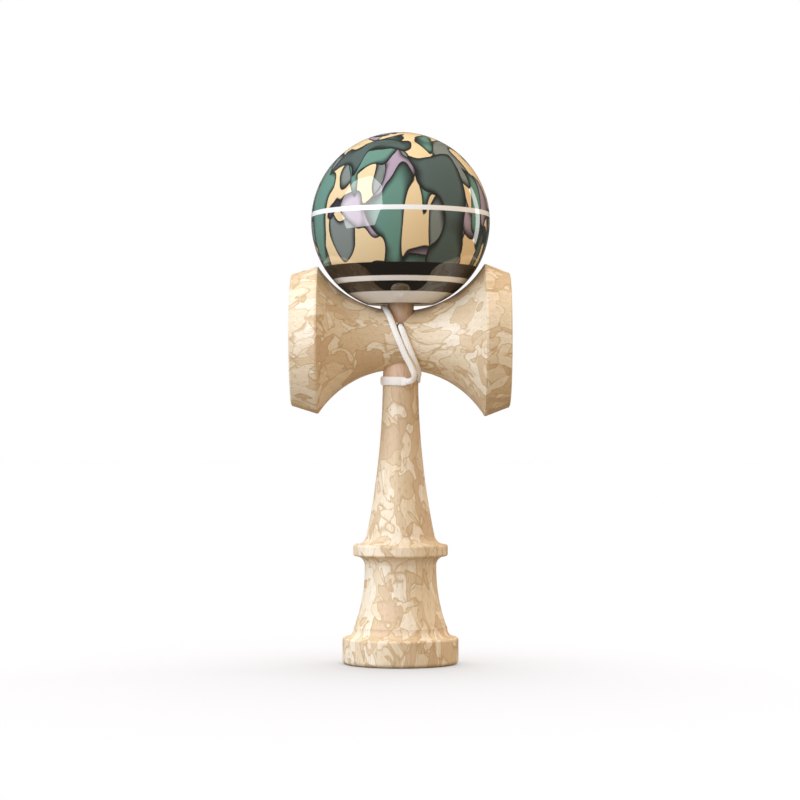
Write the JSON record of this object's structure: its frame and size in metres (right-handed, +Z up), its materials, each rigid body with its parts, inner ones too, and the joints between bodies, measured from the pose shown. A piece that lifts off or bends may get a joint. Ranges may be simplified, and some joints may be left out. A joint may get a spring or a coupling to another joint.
{
  "type": "kendama",
  "caption": "Wooden kendama: a turned handle with a spike, a cross-piece with a cup at each end, a cup in the base, and a bored ball on a string that sits on the spike.",
  "frame": {"origin": "middle of the base, on the surface that the kendama stands on", "axes": "+Z up along the ken to the spike, +X along the cross-piece towards the big cup, +Y to the back, away from the string hole"},
  "size_m": [0.074, 0.0626, 0.1815],
  "materials": {
    "handle_wood": "fine-sanded beech with a tonal blotch pattern, satin",
    "ball_lacquer": "painted beech under glossy clear lacquer",
    "string": "braided off-white polyester cord",
    "bead_wood": "plain turned wood"
  },
  "bodies": {
    "ken": {"ken": "handle_wood", "sarado": "handle_wood", "ken_knot": "string", "string_tie": "string", "string_slack": "string"},
    "string_end": {"bead": "bead_wood", "bead_knot": "string", "string_riser": "string"},
    "tama": {"tama": "ball_lacquer"}
  },
  "joints": [
    {"name": "tama_lift", "type": "slide", "parent": "ken", "child": "string_end", "axis": [0, 0, 1], "range_m": [0, 0.05]},
    {"name": "tama_spin", "type": "hinge", "parent": "string_end", "child": "tama", "pos_m": [0, 0, 0.1494], "axis": [0, 0, 1], "continuous": true}
  ]
}
